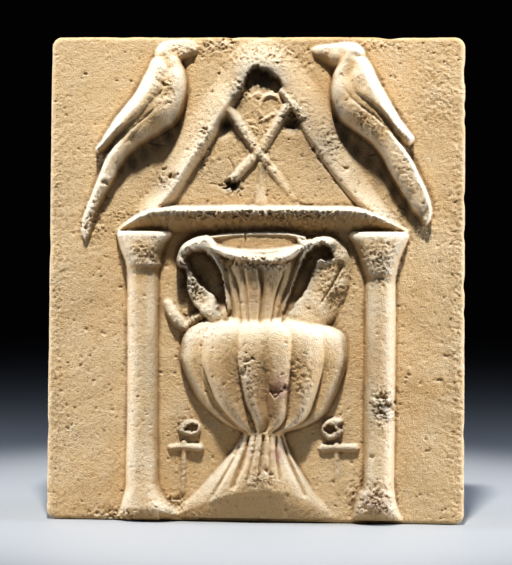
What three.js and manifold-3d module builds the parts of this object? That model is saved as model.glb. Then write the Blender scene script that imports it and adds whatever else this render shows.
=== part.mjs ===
// Mould-pressed clay relief tile: a two-handled ribbed vase stands under a pediment on two columns,
// with a bird on each slope, crossed bars in the gable and two small staffs beside the vase.
// Millimetres, +Z up. The tile stands on its lower edge and the relief looks towards -Y.
import * as THREE from 'three';
import { mergeVertices } from 'three/addons/utils/BufferGeometryUtils.js';
import Module from 'manifold-3d';

const wasm = await Module();
wasm.setup();

// Driving dimensions of the tile
const TILE_WIDTH = 276;
const TOP_WIDTH = 273;
const TILE_HEIGHT = 320;
const TILE_THICKNESS = 44;
const CORNER_RADIUS = 6;
const ARRIS_RADIUS = 4;
const ARRIS_STEPS = 2;

// The relief is bedded a little way into the ground, so that every form joins the slab
const GROUND_Y = -TILE_THICKNESS / 2;
const BEDDING = 3;

// Heights of the relief above the ground
const VASE_HEIGHT = 23;
const NECK_HEIGHT = 15;
const FOOT_HEIGHT = 14;
const RIM_HEIGHT = 17;
const CORNICE_HEIGHT = 14;
const RAKE_HEIGHT = 10;
const BIRD_HEIGHT = 13;
const COLUMN_HEIGHT = 12;
const HANDLE_HEIGHT = 10;
const EMBLEM_HEIGHT = 4.5;
const STAFF_HEIGHT = 3.5;

// Fineness of the faceted forms
const STRAND_SIDES = 10;
const STEPS_PER_SPAN = 3;
const TURNED_SEGMENTS = 72;

const clay = new THREE.MeshStandardMaterial({ color: '#d3b48a', roughness: 0.92, metalness: 0 });

// Solids and joins

function moveVertices(geometry, move) {
  const position = geometry.getAttribute('position');
  const vertex = new THREE.Vector3();
  for (let i = 0; i < position.count; i += 1) {
    move(vertex.fromBufferAttribute(position, i), i);
    position.setXYZ(i, vertex.x, vertex.y, vertex.z);
  }
  return geometry;
}

function solidFrom(geometry) {
  const bare = geometry.clone();
  bare.deleteAttribute('normal');
  bare.deleteAttribute('uv');
  const welded = mergeVertices(bare, 1e-4);
  const vertProperties = new Float32Array(welded.getAttribute('position').array);
  const triVerts = facingOut(vertProperties, withoutSlivers(welded.getIndex().array));
  return new wasm.Manifold(new wasm.Mesh({ numProp: 3, vertProperties, triVerts }));
}

// A corner that two welded vertices share leaves a triangle of no area
function withoutSlivers(index) {
  const kept = [];
  for (let i = 0; i < index.length; i += 3) {
    const [a, b, c] = index.slice(i, i + 3);
    if (a !== b && b !== c && c !== a) kept.push(a, b, c);
  }
  return new Uint32Array(kept);
}

// Turns every triangle round where the closed shape is inside out
function facingOut(vertices, triangles) {
  const corner = (i) => new THREE.Vector3().fromArray(vertices, 3 * i);
  let volume = 0;
  for (let i = 0; i < triangles.length; i += 3) {
    const [a, b, c] = [...triangles.slice(i, i + 3)].map(corner);
    volume += a.dot(b.cross(c));
  }
  return volume > 0 ? triangles : triangles.reverse();
}

function geometryFrom(solid) {
  const { vertProperties, triVerts } = solid.getMesh();
  const geometry = new THREE.BufferGeometry();
  geometry.setAttribute('position', new THREE.BufferAttribute(vertProperties, 3));
  geometry.setIndex(new THREE.BufferAttribute(triVerts, 1));
  geometry.computeVertexNormals();
  return geometry;
}

// Basic forms of the relief

// A smooth curve through the same column of every row
function curveThrough(rows, first, second) {
  const points = rows.map((row) => new THREE.Vector3(row[first], row[second], 0));
  return new THREE.CatmullRomCurve3(points);
}

// A bar that lies half sunk in the ground along a spine. Rows hold x, z, half width and height.
// nose is the share of its length over which each end is rounded off, lean shifts its crest to
// the left of the way it runs, and squareness over 2 flattens its top.
function strand(rows, { nose = 0.12, lean = 0, squareness = 2 } = {}) {
  const spine = curveThrough(rows, 0, 1);
  const section = curveThrough(rows, 2, 3);
  const steps = STEPS_PER_SPAN * (rows.length - 1);
  const bar = new THREE.CylinderGeometry(1, 1, 1, STRAND_SIDES, steps);
  return moveVertices(bar, (vertex) => {
    const along = THREE.MathUtils.clamp(vertex.y + 0.5, 0, 1);
    const centre = spine.getPoint(along);
    const heading = spine.getTangent(along);
    const { x: halfWidth, y: height } = section.getPoint(along);
    const reach = Math.abs(vertex.x) ** squareness + Math.abs(vertex.z) ** squareness;
    const grow = endRounding(along, nose) / Math.max(reach, 1e-9) ** (1 / squareness);
    const up = vertex.z * grow;
    const side = vertex.x * grow + lean * Math.max(up, 0);
    const rise = up > 0 ? up * height : up * BEDDING;
    const offset = side * halfWidth;
    vertex.set(centre.x - heading.y * offset, GROUND_Y - rise, centre.y + heading.x * offset);
  });
}

function endRounding(along, nose) {
  const smallest = 0.25;
  if (nose === 0) return 1;
  const inward = Math.min(along, 1 - along) / nose;
  if (inward >= 1) return 1;
  return Math.max(Math.sqrt(1 - (1 - inward) ** 2), smallest);
}

// A flat-topped block with a bevelled edge. The outline holds x and z.
function block(outline, height, bevel) {
  const shape = new THREE.Shape(outline.map(([x, z]) => new THREE.Vector2(x, z)));
  const geometry = new THREE.ExtrudeGeometry(shape, {
    depth: height + BEDDING - bevel,
    bevelThickness: bevel,
    bevelSize: bevel,
    bevelOffset: -bevel,
    bevelSegments: 1,
  });
  return moveVertices(geometry, (vertex) => {
    const outward = Math.max(vertex.z, 0) - BEDDING;
    vertex.set(vertex.x, GROUND_Y - outward, vertex.y);
  });
}

// A raised ring, or any flattened torus, round the point x, z
function ring(x, z, radius, thickness, height) {
  const geometry = new THREE.TorusGeometry(radius, thickness, 6, 14);
  return moveVertices(geometry, (vertex) => {
    const rise = vertex.z > 0 ? vertex.z * (height / thickness) : vertex.z * (BEDDING / thickness);
    vertex.set(x + vertex.x, GROUND_Y - rise, z + vertex.y);
  });
}

// A turned form, squeezed in depth and half sunk in the ground. Profile rows hold radius, z and how
// far the form stands out there. lobes is the number of ribs round the visible half, lobeDepth how
// deep the furrows between them cut, as a share of the radius, and twist turns them.
function turned(profile, { axis, lobes, lobeDepth, twist = 0 }) {
  const points = profile.map(([radius, z]) => new THREE.Vector2(radius, z));
  const geometry = new THREE.LatheGeometry(points, TURNED_SEGMENTS);
  return moveVertices(geometry, (vertex, i) => {
    const [radius, z, standsOut] = profile[i % profile.length];
    const angle = Math.atan2(vertex.x, vertex.z);
    const furrow = lobeDepth * (1 - Math.abs(Math.cos(lobes * angle + twist)));
    const across = radius * (1 - furrow) * Math.sin(angle);
    vertex.set(axis + across, GROUND_Y - standsOut * (1 - furrow) * Math.cos(angle), z);
  });
}

// The blank: a slab with round corners and rounded arrises

function tileBlank() {
  const footX = TILE_WIDTH / 2 - CORNER_RADIUS;
  const topX = TOP_WIDTH / 2 - CORNER_RADIUS;
  const topZ = TILE_HEIGHT - CORNER_RADIUS;
  const quarter = Math.PI / 2;
  const shape = new THREE.Shape();
  shape.absarc(footX, CORNER_RADIUS, CORNER_RADIUS, -quarter, 0);
  shape.absarc(topX, topZ, CORNER_RADIUS, 0, quarter);
  shape.absarc(-topX, topZ, CORNER_RADIUS, quarter, 2 * quarter);
  shape.absarc(-footX, CORNER_RADIUS, CORNER_RADIUS, 2 * quarter, 3 * quarter);
  const geometry = new THREE.ExtrudeGeometry(shape, {
    depth: TILE_THICKNESS - 2 * ARRIS_RADIUS,
    bevelThickness: ARRIS_RADIUS,
    bevelSize: ARRIS_RADIUS,
    bevelOffset: -ARRIS_RADIUS,
    bevelSegments: ARRIS_STEPS,
    curveSegments: 4,
  });
  return moveVertices(geometry, (vertex) => {
    vertex.set(vertex.x, GROUND_Y + ARRIS_RADIUS + vertex.z, vertex.y);
  });
}

// Pediment: two sloping rakes, the level cornice below them and the crossed bars between

function pediment() {
  const leftRake = [
    [5, 307, 6, 3],
    [-12, 289, 10, RAKE_HEIGHT - 1],
    [-33, 260, 11, RAKE_HEIGHT],
    [-59, 226, 11, RAKE_HEIGHT],
    [-82, 199, 8, RAKE_HEIGHT - 2],
  ];
  const rightRake = [
    [5, 307, 6, 3],
    [22, 289, 11, RAKE_HEIGHT - 1],
    [44, 260, 12, RAKE_HEIGHT],
    [65, 227, 12, RAKE_HEIGHT],
    [88, 198, 8, RAKE_HEIGHT - 2],
  ];
  const cornice = [
    [-92, 194, 4, 6],
    [-76, 198, 8, CORNICE_HEIGHT - 1],
    [-40, 199.5, 10, CORNICE_HEIGHT],
    [4, 200, 10.5, CORNICE_HEIGHT],
    [50, 199.5, 10, CORNICE_HEIGHT],
    [84, 198, 8, CORNICE_HEIGHT - 1],
    [100, 193, 4, 6],
  ];
  return [
    strand(leftRake, { nose: 0, lean: 0.4 }),
    strand(rightRake, { nose: 0, lean: -0.15 }),
    strand(cornice, { nose: 0, lean: 0.4 }),
    ...crossedBars(),
  ];
}

function crossedBars() {
  const bars = [
    [[-18, 269, 4], [-2, 244, 4.2], [8, 237, 4.2], [27, 212, 4]],
    [[-14, 222, 4], [1, 242, 4.2], [20, 264, 4]],
  ];
  const upright = [[3, 256, 2.2, EMBLEM_HEIGHT - 2], [3, 209, 2.4, EMBLEM_HEIGHT - 1.5]];
  const loop = ring(11, 268, 5.5, 1.8, EMBLEM_HEIGHT - 1.5);
  const raisedBar = (rows) => rows.map((row) => [...row, EMBLEM_HEIGHT]);
  const flatBars = bars.map(raisedBar).map((rows) => strand(rows, { nose: 0, squareness: 3 }));
  return [...flatBars, strand(upright, { nose: 0 }), loop];
}

// Columns: a flared capital over a neck moulding, a flat-faced shaft and a spreading base

function column(axis, capitalFoot, shaftHalf, capital, base) {
  const baseTop = 26;
  const shaft = [
    [axis, capitalFoot + 3, shaftHalf, COLUMN_HEIGHT - 2],
    [axis, (capitalFoot + baseTop) / 2, shaftHalf, COLUMN_HEIGHT - 2.5],
    [axis, baseTop - 6, shaftHalf, COLUMN_HEIGHT - 2],
  ];
  const neckMoulding = [
    [axis - shaftHalf, capitalFoot, 2.5, COLUMN_HEIGHT],
    [axis + shaftHalf, capitalFoot, 2.5, COLUMN_HEIGHT],
  ];
  return [
    strand(shaft, { nose: 0, squareness: 4 }),
    strand(neckMoulding, { nose: 0.1 }),
    block(flare(axis, capitalFoot, capital), COLUMN_HEIGHT + 2, 2.5),
    block(flare(axis, baseTop, base), COLUMN_HEIGHT, 3),
  ];
}

// The outline between a column's shaft and the wide end of its capital or base, hollow at each
// side. left and right are how far the wide end reaches from the axis, narrow the other end's half
// width, and hollow where the outline lies between them at the waist.
function flare(axis, narrowZ, { wideZ, left, right, narrow, hollow }) {
  const waist = narrowZ + (wideZ - narrowZ) * 0.45;
  return [
    [axis - narrow, narrowZ],
    [axis + narrow, narrowZ],
    [axis + narrow + hollow * (right - narrow), waist],
    [axis + right, wideZ - Math.sign(wideZ - narrowZ) * 5],
    [axis + right, wideZ],
    [axis - left, wideZ],
    [axis - left, wideZ - Math.sign(wideZ - narrowZ) * 5],
    [axis - narrow - hollow * (left - narrow), waist],
  ];
}

function columns() {
  const leftCapital = { wideZ: 191, left: 18.5, right: 18, narrow: 11, hollow: 0.45 };
  const leftBase = { wideZ: 4, left: 15, right: 20, narrow: 10.5, hollow: 0.25 };
  const rightCapital = { wideZ: 191, left: 19.5, right: 19, narrow: 10.5, hollow: 0.5 };
  const rightBase = { wideZ: 4, left: 17, right: 13, narrow: 10.5, hollow: 0.35 };
  return [
    ...column(-74.5, 171, 10.5, leftCapital, leftBase),
    ...column(82, 164, 10.5, rightCapital, rightBase),
  ];
}

// Vase: ribbed belly, fluted neck with an open mouth, spreading ribbed foot and two handles

function vase() {
  const belly = [
    [0, 57, 0],
    [11, 57.5, 9],
    [22, 61, 14],
    [33, 68, 18],
    [43, 79, 21],
    [50, 92, VASE_HEIGHT],
    [54.5, 107, VASE_HEIGHT],
    [54, 118, VASE_HEIGHT - 1],
    [48, 127, 19],
    [36, 131.5, 14],
    [18, 133, 10],
    [0, 133, 0],
  ];
  const neck = [
    [0, 126, 0],
    [15, 128, 12],
    [15.5, 137, 12],
    [17.5, 147, 12.5],
    [21, 158, 13.5],
    [25.5, 167, NECK_HEIGHT],
    [29, 174, NECK_HEIGHT],
    [0, 179, 0],
  ];
  const foot = [
    [0, 10, 0],
    [41, 12, FOOT_HEIGHT - 3],
    [40, 16, FOOT_HEIGHT],
    [34, 24, FOOT_HEIGHT],
    [27, 33, FOOT_HEIGHT],
    [19, 44, FOOT_HEIGHT],
    [13.5, 53, FOOT_HEIGHT - 1],
    [11.5, 60, FOOT_HEIGHT - 2],
    [0, 63, 0],
  ];
  return [
    turned(belly, { axis: 5.7, lobes: 5, lobeDepth: 0.14, twist: Math.PI / 2 }),
    turned(neck, { axis: 1.8, lobes: 5, lobeDepth: 0.16 }),
    turned(foot, { axis: 5, lobes: 5, lobeDepth: 0.2, twist: Math.PI / 2 }),
    ...footRibs(),
    ...handles(),
    ...rim(),
  ];
}

// The foot's outer ribs run on past its bell, and a low band lies under it
function footRibs() {
  const ribHeight = FOOT_HEIGHT - 2;
  const leftRib = [
    [-10, 50, 5, ribHeight],
    [-27, 30, 6, ribHeight],
    [-48, 9, 6, ribHeight - 5],
  ];
  const rightRib = [
    [20, 50, 5, ribHeight],
    [36, 30, 6, ribHeight],
    [51, 9, 5, ribHeight - 5],
  ];
  const band = [
    [-42, 7, 5, ribHeight - 5],
    [46, 6, 5, ribHeight - 5],
  ];
  return [strand(leftRib), strand(rightRib), strand(band, { nose: 0.03, squareness: 3 })];
}

function handles() {
  const leftStrap = [
    [-27, 185, 4, HANDLE_HEIGHT],
    [-40, 183, 4, HANDLE_HEIGHT],
    [-48, 175, 4, HANDLE_HEIGHT],
    [-44, 160, 3.5, HANDLE_HEIGHT],
    [-35, 146, 3.5, HANDLE_HEIGHT],
    [-29, 131, 4, HANDLE_HEIGHT + 2],
  ];
  const rightStrap = [
    [30, 184, 4, HANDLE_HEIGHT],
    [43, 185, 4.5, HANDLE_HEIGHT],
    [53, 177, 5, HANDLE_HEIGHT],
    [48, 161, 5.5, HANDLE_HEIGHT],
    [38, 146, 6, HANDLE_HEIGHT + 1],
    [33, 130, 6, HANDLE_HEIGHT + 2],
  ];
  const leftSpur = [
    [-34, 134, 4.5, HANDLE_HEIGHT + 3],
    [-48, 132.5, 4.5, HANDLE_HEIGHT],
    [-57, 142, 3.5, HANDLE_HEIGHT - 3],
  ];
  const rightSpur = [
    [40, 133, 4.5, HANDLE_HEIGHT + 3],
    [53, 138, 4, HANDLE_HEIGHT],
    [65, 148, 2.5, HANDLE_HEIGHT - 4],
  ];
  return [
    strand(leftStrap, { squareness: 3 }),
    strand(rightStrap, { squareness: 3 }),
    strand(leftSpur, { nose: 0.2 }),
    strand(rightSpur, { nose: 0.2 }),
  ];
}

// The rim stands out round the mouth, which is a true hollow
function rim() {
  const rimRows = [[-35, 185.5], [-18, 174.5], [1, 172.5], [20, 174], [36, 184.5]];
  const nearRim = rimRows.map(([x, z]) => [x, z, 5.5, RIM_HEIGHT]);
  const farRim = [[-34, 185, 2.5, 7], [-10, 188.5, 2.5, 6], [20, 188.5, 2.5, 6], [35, 185, 2.5, 7]];
  return [strand(nearRim, { nose: 0.08 }), strand(farRim, { nose: 0.05 })];
}

function mouthHollow() {
  const hollow = new THREE.SphereGeometry(1, 24, 12);
  const halfWidth = 27;
  const halfHeight = 4.6;
  hollow.scale(halfWidth, RIM_HEIGHT - 3, halfHeight);
  return hollow.translate(0.8, GROUND_Y - RIM_HEIGHT, 182.8);
}

// Birds: each looks inwards from its slope, with a folded wing and a long tail

function birds() {
  const leftHead = [
    [-43, 307, 1.2, 5],
    [-50, 310, 4, BIRD_HEIGHT - 2],
    [-58, 310, 7, BIRD_HEIGHT - 1],
    [-61, 302, 9, BIRD_HEIGHT],
  ];
  const leftBody = [
    [-60, 306, 8, BIRD_HEIGHT - 2],
    [-60, 291, 13, BIRD_HEIGHT],
    [-64, 275, 16, BIRD_HEIGHT],
    [-77, 258, 12, BIRD_HEIGHT],
    [-92, 236, 8, BIRD_HEIGHT - 3],
    [-104, 213, 6, BIRD_HEIGHT - 5],
    [-112.5, 190, 3.5, BIRD_HEIGHT - 7],
  ];
  const leftWing = [
    [-66, 294, 4, BIRD_HEIGHT],
    [-76, 279, 8, BIRD_HEIGHT + 1],
    [-89, 261, 7, BIRD_HEIGHT - 1],
    [-106, 244, 3, BIRD_HEIGHT - 6],
  ];
  const rightHead = [
    [37, 310, 1.2, 5],
    [44, 309, 4, BIRD_HEIGHT - 2],
    [56, 308, 6.5, BIRD_HEIGHT - 1],
    [62, 301, 9, BIRD_HEIGHT],
  ];
  const rightBody = [
    [62, 305, 8, BIRD_HEIGHT - 2],
    [64, 292, 14, BIRD_HEIGHT],
    [68, 276, 17, BIRD_HEIGHT],
    [79, 258, 12, BIRD_HEIGHT],
    [92, 236, 8.5, BIRD_HEIGHT - 3],
    [103, 216, 7, BIRD_HEIGHT - 5],
    [112, 202, 4, BIRD_HEIGHT - 7],
  ];
  const rightWing = [
    [62, 290, 5, BIRD_HEIGHT + 1],
    [75, 277, 9, BIRD_HEIGHT + 2],
    [88, 264, 8, BIRD_HEIGHT],
    [101, 251, 3, BIRD_HEIGHT - 4],
  ];
  return [leftHead, leftBody, leftWing, rightHead, rightBody, rightWing].map((rows) => strand(rows));
}

// Small loop-headed staffs between the columns and the vase

function staff({ x, foot, barZ, barLeft, barRight, loopX, loopZ }) {
  const stem = [[x, barZ + 7, 2, STAFF_HEIGHT], [x, foot, 1.8, STAFF_HEIGHT - 1]];
  const bar = [[barLeft, barZ, 2.6, STAFF_HEIGHT], [barRight, barZ, 2.6, STAFF_HEIGHT]];
  const shapes = [stem, bar].map((rows) => strand(rows, { nose: 0 }));
  return [...shapes, ring(loopX, loopZ, 4.8, 2, STAFF_HEIGHT)];
}

function staffs() {
  return [
    ...staff({ x: -47, foot: 18, barZ: 49.8, barLeft: -57, barRight: -36, loopX: -45, loopZ: 62 }),
    ...staff({ x: 56, foot: 16, barZ: 50, barLeft: 44, barRight: 68, loopX: 51, loopZ: 63 }),
  ];
}

// The whole tile, pressed in one piece

function reliefTile() {
  const raised = [...pediment(), ...columns(), ...vase(), ...birds(), ...staffs()];
  const pressed = raised.map(solidFrom).reduce((sum, form) => sum.add(form), solidFrom(tileBlank()));
  return pressed.subtract(solidFrom(mouthHollow()));
}

const tile = new THREE.Mesh(geometryFrom(reliefTile()), clay);
tile.name = 'relief_tile';

const object = new THREE.Group();
object.add(tile);

export default object;
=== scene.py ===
import math

import bpy
import numpy as np
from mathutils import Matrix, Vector


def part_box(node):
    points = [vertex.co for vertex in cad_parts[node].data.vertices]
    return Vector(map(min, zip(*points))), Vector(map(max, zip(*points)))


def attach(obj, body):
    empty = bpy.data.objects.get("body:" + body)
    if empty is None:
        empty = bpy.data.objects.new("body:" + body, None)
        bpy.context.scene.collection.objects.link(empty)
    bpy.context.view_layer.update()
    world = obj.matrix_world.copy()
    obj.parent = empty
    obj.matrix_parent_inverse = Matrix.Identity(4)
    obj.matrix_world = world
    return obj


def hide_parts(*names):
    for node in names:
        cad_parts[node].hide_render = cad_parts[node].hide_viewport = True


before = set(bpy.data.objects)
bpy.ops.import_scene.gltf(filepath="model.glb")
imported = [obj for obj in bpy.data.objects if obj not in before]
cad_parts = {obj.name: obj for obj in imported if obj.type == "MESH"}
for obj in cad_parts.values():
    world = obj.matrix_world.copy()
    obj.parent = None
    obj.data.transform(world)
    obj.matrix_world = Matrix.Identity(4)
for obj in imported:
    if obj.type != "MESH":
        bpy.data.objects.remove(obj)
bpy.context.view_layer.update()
bpy.ops.object.select_all(action="DESELECT")

# The slab
# One block of buff clay, pressed face down into a carved mould, trimmed square and fired. It is a
# little narrower at the top. Its front is a fine grid, which the relief below is then pressed into,
# and its back is a coarser one, joined to the front by the four sides.
MM = 0.001
low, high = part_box("relief_tile")
WIDTH = (high.x - low.x) / MM
HEIGHT = (high.z - low.z) / MM
BACK_Y = high.y / MM
GROUND_Y = -BACK_Y
TOP_WIDTH = 273.0
CORNER_RADIUS = 7.0
CELL = 0.5
BACK_CELL = 2.0
SIDE_CUTS = 24


def plate(face_y, cell, turn):
    """A flat upright grid of square cells over the slab's whole outline."""
    bpy.ops.mesh.primitive_grid_add(
        x_subdivisions=round(WIDTH / cell),
        y_subdivisions=round(HEIGHT / cell),
        size=1,
        location=(0, face_y * MM, HEIGHT / 2 * MM),
        rotation=(turn, 0, 0),
    )
    grid = bpy.context.object
    grid.scale = (WIDTH * MM, HEIGHT * MM, 1)
    bpy.ops.object.transform_apply(location=True, rotation=True, scale=True)
    return grid


tile = plate(GROUND_Y, CELL, math.pi / 2)
plate(BACK_Y, BACK_CELL, -math.pi / 2)
tile.name = "clay_tile"
tile.select_set(True)
bpy.context.view_layer.objects.active = tile
bpy.ops.object.join()
bpy.ops.object.mode_set(mode="EDIT")
bpy.ops.mesh.select_mode(type="EDGE")
bpy.ops.mesh.select_all(action="DESELECT")
bpy.ops.mesh.select_non_manifold(
    extend=False, use_wire=False, use_boundary=True, use_multi_face=False,
    use_non_contiguous=False, use_verts=False,
)
bpy.ops.mesh.bridge_edge_loops(number_cuts=SIDE_CUTS)
bpy.ops.mesh.select_all(action="SELECT")
bpy.ops.mesh.normals_make_consistent(inside=False)
bpy.ops.object.mode_set(mode="OBJECT")

# The ground
# The relief is worked out as heights in millimetres over the slab's ground, one for each point of
# the front grid, at x across and z up. The ground itself is hand-smoothed clay, so it undulates.
GROUND_SWELL = 0.45
GROUND_RIPPLE = 0.09
SMOOTHING = 2.2
x, z = np.meshgrid(
    np.linspace(-WIDTH / 2, WIDTH / 2, round(WIDTH / CELL) + 1),
    np.linspace(0, HEIGHT, round(HEIGHT / CELL) + 1),
)


def smoothed(field, size, beyond="reflect"):
    """The field with everything smaller than about size millimetres smoothed away."""
    margin = round(3 * size / CELL) + 1
    padded = np.pad(field, margin, mode=beyond)
    waves = np.hypot(
        np.fft.rfftfreq(padded.shape[1], CELL)[None, :],
        np.fft.fftfreq(padded.shape[0], CELL)[:, None],
    )
    kept = np.fft.rfft2(padded) * np.exp(-((waves * size * SMOOTHING) ** 2))
    return np.fft.irfft2(kept, padded.shape)[margin:-margin, margin:-margin]


def mottle(size, seed):
    """Even noise with lumps about size millimetres across, mostly between -2 and 2."""
    speckle = np.random.default_rng(seed).standard_normal(x.shape)
    lumps = smoothed(speckle, size, beyond="wrap")
    return (lumps - lumps.mean()) / lumps.std()


relief = GROUND_SWELL * mottle(size=30, seed=1) + GROUND_RIPPLE * mottle(size=7, seed=2)
ragged = mottle(size=1.2, seed=8)

# The pediment
# A gable of two sloping bars over a level cornice, modelled in the mould and pressed with the slab.
# The left bar is a soft ridge with a steep inner side, the right bar a rounded band. The cornice
# has a thin upper lip and one long bevel that faces down, and it runs out to a point at each end.
# Rows: x, z, width left of the line, width right of it (looking along the line), height.
LEFT_RAKE = [
    (-4.5, 297.5, 5, 12, 8), (-13.5, 283, 6, 15, 10), (-20, 274, 6.5, 16, 11),
    (-26.5, 263.5, 6.5, 17, 11), (-34, 252, 6.5, 17, 11), (-41.5, 240.5, 6.5, 16, 11),
    (-48, 230, 6, 15, 10.5), (-54.5, 219, 6, 14, 10), (-61.5, 210.5, 5.5, 12, 9.5),
    (-72, 201, 4, 9, 8), (-84, 193, 3, 4, 4),
]
RIGHT_RAKE = [
    (12, 297.5, 12, 6, 8), (17.5, 290, 15, 5, 8.8), (23, 279.5, 17, 4.5, 8.8),
    (28.5, 268.5, 17.5, 4, 8.5), (34, 258, 18, 4, 8.5), (40.5, 247.5, 18, 4, 8.5),
    (47.5, 238, 18, 4, 8.5), (54, 229, 17, 4, 8.5), (61.5, 219.5, 13, 4, 8), (69, 211.5, 11, 4, 8),
    (79.5, 203.5, 8, 5, 8), (92, 195.5, 4, 4, 5),
]
APEX = [
    (-10, 290, 14, 2, 9), (-5, 296, 17, 2, 9.5), (3, 299, 18, 2, 9.5), (11, 296.5, 17, 2, 9.5),
    (18, 288.5, 15, 3, 9),
]
CORNICE = [
    (-91, 191.5, 2, 1, 3), (-82.5, 197, 3, 6.5, 8), (-72.5, 202, 4, 11.5, 12),
    (-62, 204, 5, 13.5, 14), (-31.5, 204.5, 5, 13.5, 14.5), (4.5, 205, 5, 13.8, 14.5),
    (42, 205, 5, 13.6, 14), (66, 204.5, 5, 13.2, 14), (77, 202, 4, 10.5, 12), (88, 197.5, 3, 6, 8),
    (99, 192, 2, 1, 3),
]
TYMPANUM = [
    (4, 302, 6), (-8, 292, 6), (-22, 270, 6), (-38, 244, 6), (-56, 216, 6), (-58, 206, 6),
    (4, 204, 6), (66, 206, 6), (66, 212, 6), (46, 240, 6), (30, 266, 6), (16, 290, 6),
]
TYMPANUM_HEIGHTS = [
    (-34, 222, 3.5), (-10, 235, 4), (4, 275, 4.5), (20, 240, 5), (44, 220, 6), (24, 262, 6),
]
APEX_HOLLOW = [
    (-7, 285), (-7, 291), (-4.5, 296), (-1, 298.5), (3.5, 297.5), (7, 296), (9.5, 293.5),
    (14, 291.5), (16.5, 286.5), (13.5, 282), (9.5, 283.5), (5, 280.5), (1, 283), (-3, 280.5),
]
APEX_HOLLOW_FLOORS = [(4, 295, 0.5), (4, 282, 3.5)]
# How finely rows are joined up, how much room is worked on around a form, and how forms fall off
# past their edges and blend from one height to the next.
SPLINE_STEPS = 8
LINE_MARGIN = 4
OUTLINE_MARGIN = 3
FAR_AWAY = 1e6
OUTER_FALL = 3
BLEND_RADIUS = 4
BLEND_POWER = -1.5
PIT_ROUGHNESS = 0.35


def spline(rows, closed=False):
    """Close rows along a smooth line through the rows, with every column smoothed alike."""
    rows = np.array(rows, float)
    if closed:
        rows = np.vstack([rows[-1:], rows, rows[:2]])
    else:
        rows = np.vstack([2 * rows[0] - rows[1], rows, 2 * rows[-1] - rows[-2]])
    t = np.arange(SPLINE_STEPS)[:, None] / SPLINE_STEPS
    spans = [
        b + 0.5 * t * (c - a + t * (2 * a - 5 * b + 4 * c - d + t * (3 * b - a - 3 * c + d)))
        for a, b, c, d in zip(rows, rows[1:], rows[2:], rows[3:])
    ]
    return np.vstack(spans + [rows[-2:-1]])


def window(x_low, x_high, z_low, z_high):
    """The part of the front grid between these places."""
    first_column = max(0, round((x_low + WIDTH / 2) / CELL))
    last_column = max(0, round((x_high + WIDTH / 2) / CELL))
    first_row = max(0, round(z_low / CELL))
    last_row = max(0, round(z_high / CELL))
    return slice(first_row, last_row + 1), slice(first_column, last_column + 1)


def around(line, margin):
    """The part of the front grid that reaches some millimetres past the line on every side."""
    line_x, line_z = line[:, 0], line[:, 1]
    return window(
        line_x.min() - margin, line_x.max() + margin, line_z.min() - margin, line_z.max() + margin
    )


def beside(rows):
    """The part of the face around a line of rows, how far each point lies left of the line (right
    of it is negative), and the rows' other columns at the nearest point of the line."""
    line = spline(rows)
    part = around(line, line[:, 2:4].max() + LINE_MARGIN)
    off = np.full(x[part].shape, FAR_AWAY)
    columns = np.zeros((line.shape[1] - 2,) + off.shape)
    for a, b in zip(line, line[1:]):
        run_x, run_z = b[:2] - a[:2]
        way_x, way_z = x[part] - a[0], z[part] - a[1]
        share = np.clip((way_x * run_x + way_z * run_z) / (run_x**2 + run_z**2), 0, 1)
        distance = np.hypot(way_x - share * run_x, way_z - share * run_z)
        closer = distance < np.abs(off)
        side = np.where(run_x * way_z - run_z * way_x >= 0, 1, -1)
        off = np.where(closer, side * distance, off)
        for k in range(len(columns)):
            columns[k] = np.where(closer, a[k + 2] + share * (b[k + 2] - a[k + 2]), columns[k])
    return part, off, columns


def crown(share, power, foot):
    """A section that is 1 in the middle and 0 at its foot, and drops away outside it."""
    inside = np.clip(np.abs(share), 0, 1)
    return (1 - inside**power) ** foot - OUTER_FALL * np.maximum(np.abs(share) - 1, 0)


def lay(part, form, fillet):
    """Adds clay up to the form, with a fillet of some millimetres where it meets what is there."""
    overlap = np.maximum(fillet - np.abs(relief[part] - form), 0)
    relief[part] = np.maximum(relief[part], form) + overlap**2 / (4 * fillet)


def dig(part, form, fillet):
    """Takes clay away down to the form, with its rim eased."""
    overlap = np.maximum(fillet - np.abs(relief[part] - form), 0)
    relief[part] = np.minimum(relief[part], form) - overlap**2 / (4 * fillet)


def strand(rows, left=(2, 0.5), right=(2, 0.5), fillet=1.0):
    """A raised bar along the rows. left and right are the power and foot of its section's sides."""
    part, off, (left_width, right_width, height) = beside(rows)
    share = np.where(off > 0, off / left_width, off / right_width)
    section = np.where(off > 0, crown(share, *left), crown(share, *right))
    lay(part, height * section, fillet)


def groove(rows, power=1.3):
    """A cut along the rows, which hold x, z, half width and depth."""
    part, off, (half, depth) = beside(rows)
    relief[part] -= depth * np.maximum(1 - np.abs(off / half), 0) ** power


def within(outline):
    """The part of the face around a closed outline of x, z and the width over which a form rolls off
    there. Each point's value is 0 on the outline and 1 where the roll ends, and outside it is the
    distance in millimetres, negative."""
    line = spline(outline, closed=True)
    part = around(line, OUTLINE_MARGIN)
    share = np.full(x[part].shape, 1.0)
    nearest = np.full(x[part].shape, FAR_AWAY)
    inside = np.zeros(x[part].shape, bool)
    for a, b in zip(line, line[1:]):
        run_x, run_z = b[:2] - a[:2]
        way_x, way_z = x[part] - a[0], z[part] - a[1]
        along = np.clip((way_x * run_x + way_z * run_z) / (run_x**2 + run_z**2), 0, 1)
        distance = np.hypot(way_x - along * run_x, way_z - along * run_z)
        nearest = np.minimum(nearest, distance)
        share = np.minimum(share, distance / (a[2] + along * (b[2] - a[2])))
        beyond = way_x < way_z * run_x / (run_z or 1)
        inside ^= ((a[1] > z[part]) != (b[1] > z[part])) & beyond
    return part, np.where(inside, share, -nearest)


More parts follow.
